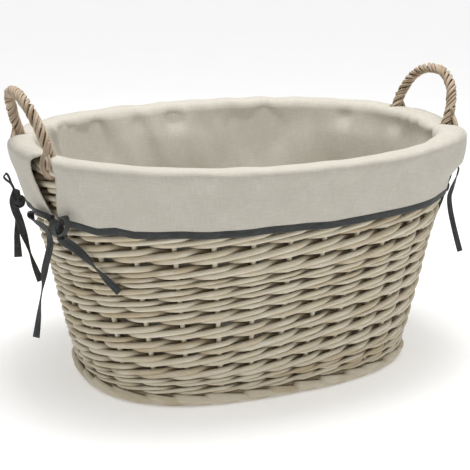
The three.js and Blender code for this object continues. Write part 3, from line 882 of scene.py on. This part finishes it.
def handle_wrap(side):
    """Pairs of thin rods twisted round the core, each darkened with painted shade on its side towards the
    core.
    """
    line = handle_line(side, 0.306)
    first, second = section_axes(line, False, None)
    along = distances(line)
    # painted shade: each rod darkens on its side towards the core, as the shade in the grooves between
    # strands
    groove_painted_shade = np.clip(0.45 - 0.75 * ROUND[:, 0], 0, 1)
    strands = Strands()
    for number in range(TWIST_STRANDS):
        for member in (-1, 1):
            start = 2 * pi * number / TWIST_STRANDS + member * 0.27 + chance.normal(0, 0.03)
            turn = start + 2 * pi * along / TWIST_LEAD + 0.12 * Ripples((0.06, 0.15)).at(along)
            reach = TWIST_RADIUS * (1 + 0.05 * Ripples((0.03, 0.09)).at(along))
            girth = TWIST_ROD_RADIUS * (1 + 0.07 * Ripples((0.05, 0.12)).at(along))
            away = np.cos(turn)[:, None] * first + np.sin(turn)[:, None] * second
            rod = line + reach[:, None] * away
            tone = np.clip(0.45 + 0.3 * chance.normal() + 0.2 * Ripples((0.05, 0.2)).at(along), 0, 1)
            strands.add(rod, girth, guide=away, tone=tone, depth=groove_painted_shade)
    strands.build(f"handle_{side}_wrap_rods", HANDLE_WILLOW, "handle_willow", f"handle_{side}_wrap")


# The rods of a foot, in two crossing bundles. For each: how far it starts to the side of the leg, where
# it lies beside the rim and over the border, where it ends (in stake spaces), and its lowest height.
CROSSED_RODS = [
    (0.12, 0.08, 0.0, 0.04, 300), (0.08, 0.03, -0.05, 0.0, 297), (0.04, -0.02, -0.10, -0.05, 296),
    (0.0, -0.06, -0.14, -0.10, 299), (-0.12, 0.0, 0.13, 0.17, 307), (-0.08, 0.05, 0.18, 0.21, 309),
]
SPLAYED_RODS = [
    (0.10, -0.16, -0.32, -0.34, 300), (0.08, -0.12, -0.27, -0.29, 296), (0.04, -0.05, -0.12, -0.13, 292),
    (0.0, 0.0, 0.0, 0.02, 290), (-0.04, 0.05, 0.12, 0.13, 292), (-0.08, 0.12, 0.27, 0.29, 296),
    (-0.11, 0.17, 0.33, 0.35, 301),
]


def handle_foot(side, end, spaces, rods, spread=1.0):
    """The wrap's rod ends: they cross, lie over the border and tuck into the weave."""
    strands = Strands()
    for number, (start, rim, border, finish, low) in enumerate(rods):
        keys = [
            (start, 1.0, 337),
            (start * 0.8, 3.0, 332),
            (rim * spread, 7.0, 324),
            (border * spread, 10.5, 315.5),
            ((border + finish) / 2 * spread, 13.6, 307),
            (finish * spread, 12.6, low + 1),
            (finish * spread, 7.5, low - 4),
            (finish * spread, 0, low - 7),
        ]
        curve = smooth(keys, 6)
        layer = 1.5 * (number % 2)
        line = wall_point(spaces + curve[:, 0], (curve[:, 1] - layer) * MM, curve[:, 2] * MM)
        girth = 2.0 * MM * chance.uniform(0.9, 1.05)
        tone = np.clip(chance.normal(0.45, 0.25), 0, 1)
        # painted shade: the rod ends darken where they lie in towards the wall below the rim's top, tucked
        # into the weave
        depth = np.clip((8.0 - curve[:, 1]) / 14.0 * (curve[:, 2] < 312), 0, 1)[:, None]
        strands.add(line, girth, tone=tone, depth=depth)
    name = f"handle_{side}_foot_{end}"
    strands.build(f"{name}_rods", HANDLE_WILLOW, "handle_willow", name)


def handles():
    for side, (back_foot, front_foot) in HANDLE_FEET.items():
        handle_core(side)
        handle_wrap(side)
        handle_foot(side, "back", back_foot, SPLAYED_RODS, 0.45 if side == "right" else 1.0)
        handle_foot(side, "front", front_foot, SPLAYED_RODS if side == "right" else CROSSED_RODS)


stakes()
wall_rows()
foot_border()
top_border()
base_frame()
base_weave()
handles()


# ---------- linen ----------

# The cloth's section, as offs and heights in millimetres, from the floor over the rim to the hem.
LINER_PROFILE = [
    (-13.3, 22.3), (-13.3, 60), (-13.3, 120), (-13.3, 180), (-13.6, 240), (-14.6, 280), (-15.4, 298),
    (-15.7, 307), (-14.6, 312.5), (-11.0, 316.2), (-4, 317.5), (4, 317.5), (11.0, 315.9), (15.2, 311.5),
    (16.2, 304), (15.6, 290), (14.9, 270), (14.2, 252), (13.8, 241.5),
]
PROFILE_STEPS = 6
FLAP_STEP = 0.085  # stake spaces between two columns of the cloth
SPACE_WIDTH = 0.0505  # cloth in one stake space, in metres, for the weave's scale
HEM_REACH = 84  # from the crest to the hem, in millimetres

# Half the slit's width in stake spaces, at distances in millimetres from the crest, outwards.
SLIT = ((-9, 0, 8, 18, 30, HEM_REACH), (0, 0.16, 0.22, 0.40, 0.42, 0.10))
# How far each flap stands off the wall, in millimetres, at places round the basket, and how that
# spreads over the distance from the crest.
BULGES = {
    "front": ((17.5, 28, 29.6, 30.5), (0, 0, 10, 11)),
    "right": ((30.5, 33.5), (9, 6)),
    "back": ((1.5, 3.5, 12.5, 14.5), (4, 0, 0, 4)),
    "left": ((14.5, 17.5), (4, 3.5)),
}
BULGE_SHAPE = ((8, 22, 42, 62, 86), (0, 0.5, 1, 0.85, 0.4))
RIGHT_BULGE_SHAPE = ((8, 20, 32, 52, 60, 68, 84), (0, 0.5, 0.75, 0.9, 0.4, -0.2, -0.05))
# How far the crest swells inwards, stands above its plain height, and the hem hangs below its own.
SWELLS = ((0, 1.5, 3, 28.5, 30, 32), (5, 3, 0, 0, 5, 5))
CREST_LIFTS = (
    (0, 17.5, 18.5, 20.5, 22.5, 24, 26, 28, 29.3, 30, 30.5, 31, 32),
    (0, 1, 2, 0, -2.6, -3.5, -3, 0.5, 4.0, -1, -4, -2, 0),
)
HEM_DROPS = ((0, 18.2, 18.7, 19.15, 19.6, 20.1, 20.8, 32), (0, -1.0, 2.0, -1.8, 2.2, 1.4, 0, 0))
# Sharp folds inside: where each is, how deep in millimetres, and how wide in stake spaces.
CREASES = ((12.2, 3.4, 0.11), (13.0, 2.6, 0.13), (32.1, 2.4, 0.15), (31.5, 1.8, 0.2), (9.4, 1.2, 0.2))

FOLD_STRENGTH = 1.5
SLACK = 2.0  # how far the loose cloth hangs in from the wall, in millimetres
WILLOW_CLEARANCE = 1.4  # how far the inner cloth may move out before it meets the rods, in millimetres

wide_folds = Ripples((2.2, 5.5))
soft_folds = Ripples((0.8, 2.0))
pockets = Ripples((0.9, 2.4))
crest_folds = Ripples((1.0, 3.0))
hem_waves = Ripples((1.2, 3.5))


def round_lap(ripples, spaces, drop=0.0):
    """Ripples at places from 1.5 to 33.5 that meet where the lap closes."""
    late = np.clip((spaces - 30.5) / 3, 0, 1)
    return ripples.at(spaces, drop) * (1 - late) + ripples.at(spaces - STAKES, drop) * late


def stand_off(flap, spaces, reach):
    """How far the cloth stands out from its plain shape. reach is its distance from the crest in mm."""
    drop = reach * 0.02
    inside = np.clip((-reach - 14) / 40, 0, 1)
    outside = np.clip((reach - 18) / 20, 0, 1)
    wide = round_lap(wide_folds, spaces, drop)
    inner = 1.6 * wide + 1.0 * round_lap(soft_folds, spaces, drop * 0.6)
    outer = 0.7 * wide + 0.7 * round_lap(soft_folds, spaces, drop)
    rim = 1.1 * round_lap(crest_folds, spaces, drop * 0.3) * np.exp(-((reach / 18) ** 2))
    pocket = 3.0 * np.clip(round_lap(pockets, spaces), 0, 1.3) * np.exp(-(((reach + 33) / 12) ** 2))
    swell = -np.interp(np.mod(spaces, STAKES), *SWELLS) * np.exp(-(((reach + 16) / 13) ** 2))
    crease = 0
    for place, depth, width in CREASES:
        aside = (spaces - place - 0.004 * reach) / width
        crease = crease + depth * aside * np.exp(-(aside**2))
    below_rim = np.clip((-reach - 8) / 14, 0, 1) * np.clip((reach + 120) / 60, 0, 1)
    shape = BULGE_SHAPE if flap in ("left", "back") else RIGHT_BULGE_SHAPE
    bulge = np.interp(spaces, *BULGES[flap]) * np.interp(reach, *shape)
    folds = FOLD_STRENGTH * (inner * inside + pocket + crease * below_rim) - SLACK * below_rim
    hidden = np.minimum(folds, WILLOW_CLEARANCE) if reach < -8 else 0
    return (hidden + outer * outside + rim + swell + bulge) * MM


def stand_up(spaces, reach):
    """How far the cloth lies above its plain shape."""
    lap = np.mod(spaces, STAKES)
    crest = np.interp(lap, *CREST_LIFTS) + 0.6 * round_lap(soft_folds, spaces)
    hem = np.interp(lap, *HEM_DROPS) + 0.7 * hem_waves.at(spaces)
    low = np.clip((reach - 45) / 35, 0, 1)
    return (crest * np.exp(-((reach / 26) ** 2)) - hem * low) * MM


def cloth_panel(flap, start, end):
    """One panel of the liner, from the floor up the wall, over the rim and down to its hem."""
    profile = smooth(LINER_PROFILE, PROFILE_STEPS)
    along = distances(profile)
    reach = along - np.interp(0, profile[:, 0], along)
    columns = int(round((end - start) / FLAP_STEP)) + 1
    plain = np.linspace(start, end, columns)
    rows = []
    for (off, height), apart in zip(profile * MM, reach):
        gap = np.interp(apart, *SLIT)
        spaces = start + gap + (plain - start) * (end - start - 2 * gap) / (end - start)
        rows.append(
            wall_point(spaces, off + stand_off(flap, plain, apart), height + stand_up(plain, apart))
        )
    return np.stack(rows), along


def grid_faces(rows, columns, first=0):
    index = first + np.arange(rows * columns).reshape(rows, columns)
    corners = [index[:-1, :-1], index[:-1, 1:], index[1:, 1:], index[1:, :-1]]
    return np.stack(corners, axis=-1).reshape(-1, 4).tolist()


def thicken(obj, thickness):
    modifier = obj.modifiers.new("thickness", "SOLIDIFY")
    modifier.thickness = thickness
    modifier.offset = 0


def liner():
    points, faces, grain = [], [], []
    first = 0
    for flap, (start, end) in FLAPS.items():
        rows, along = cloth_panel(flap, start, end)
        count, columns = rows.shape[:2]
        faces += grid_faces(count, columns, first)
        first += count * columns
        points.append(rows.reshape(-1, 3))
        across = (start + np.linspace(0, 1, columns) * (end - start)) * SPACE_WIDTH
        place = np.stack(np.broadcast_arrays(across[None, :], along[:, None] * MM, 0.0), axis=-1)
        grain.append(place.reshape(-1, 3))
    flaps = [f"liner_flap_{name}" for name in FLAPS]
    nodes = ["liner_wall", *flaps]
    obj = piece("liner_cloth", np.vstack(points), faces, LINEN, nodes, grain=np.vstack(grain))
    work = bmesh.new()
    work.from_mesh(obj.data)
    bmesh.ops.remove_doubles(work, verts=work.verts, dist=0.01 * MM)
    bmesh.ops.recalc_face_normals(work, faces=work.faces)
    work.to_mesh(obj.data)
    work.free()
    thicken(obj, CLOTH_THICKNESS)
    tapes = [hem_tape(name, *spans) for name, spans in FLAPS.items()]


def liner_floor():
    rings = 16
    columns = 128
    angle = np.arange(columns) * 2 * pi / columns
    points, grain = [(0, 0, LINER_FLOOR - 0.6 * MM)], [(0, 0, 0)]
    sag = Ripples((0.05, 0.16))
    edge = oval(angle, LINER_OFF, LINER_FLOOR)
    for number in range(1, rings + 1):
        ring = edge * [number / rings, number / rings, 1]
        lift = 0.5 * MM * sag.at(ring[:, 0], ring[:, 1]) * (1 - number / rings)
        ring[:, 2] += lift
        points += ring.tolist()
        grain += (ring * [1, 1, 0]).tolist()
    faces = [(0, 1 + k, 1 + (k + 1) % columns) for k in range(columns)]
    for number in range(rings - 1):
        inner = 1 + number * columns
        outer = inner + columns
        for k in range(columns):
            after = (k + 1) % columns
            faces.append((inner + k, outer + k, outer + after, inner + after))
    grain = np.array(grain, float)
    obj = piece("liner_floor_cloth", points, faces, LINEN, ["liner_floor"], grain)
    thicken(obj, CLOTH_THICKNESS)


def hem_tape(flap, start, end):
    """The tape folded over a flap's lower edge, following the hem's waves."""
    plain = np.linspace(start, end, int((end - start) * 12) + 1)
    gap = SLIT[1][-1]
    spaces = start + gap + (plain - start) * (end - start - 2 * gap) / (end - start)
    middle = HEM_HEIGHT - TAPE_HEIGHT / 2
    off = TAPE_OFF + stand_off(flap, plain, HEM_REACH)
    line = wall_point(spaces, off, middle + stand_up(plain, HEM_REACH))
    lean = unit(wall_point(spaces, 0, 0.27) - wall_point(spaces, 0, 0.22))
    strands = Strands()
    strands.add(line, TAPE_HEIGHT / 2, TAPE_HALF_THICKNESS, STRIP, lean)
    return strands.build(f"hem_tape_{flap}_cloth", TAPE, "tape", f"hem_tape_{flap}")


liner()
liner_floor()


# ---------- studio ----------


def make_studio():
    mesh = bpy.data.meshes.new("studio_floor")
    corners = [(x * FLOOR_REACH, y * FLOOR_REACH, 0) for x, y in ((-1, -1), (1, -1), (1, 1), (-1, 1))]
    mesh.from_pydata(corners, [], [(0, 1, 2, 3)])
    mesh.materials.append(STUDIO_FLOOR)
    floor = bpy.data.objects.new("studio_floor", mesh)
    bpy.context.scene.collection.objects.link(floor)

    world = bpy.data.worlds.new("studio")
    world.use_nodes = True
    world.node_tree.nodes["Background"].inputs["Color"].default_value = (1, 1, 1, 1)
    world.node_tree.nodes["Background"].inputs["Strength"].default_value = WORLD_STRENGTH
    bpy.context.scene.world = world

    sun = bpy.data.lights.new("sky", "SUN")
    sun.energy = SKY_STRENGTH
    sun.angle = SKY_SPREAD
    lamp = bpy.data.objects.new("sky", sun)
    lamp.rotation_euler = Vector((0.05, -0.08, 1.0)).to_track_quat("Z", "Y").to_euler()
    bpy.context.scene.collection.objects.link(lamp)

    panel = bpy.data.lights.new("overhead", "AREA")
    panel.energy = PANEL_POWER
    panel.size = PANEL_SIZE
    lamp = bpy.data.objects.new("overhead", panel)
    lamp.location = (0.05, 0, 1.5)
    bpy.context.scene.collection.objects.link(lamp)
    bpy.context.scene.view_settings.view_transform = "Standard"


make_studio()
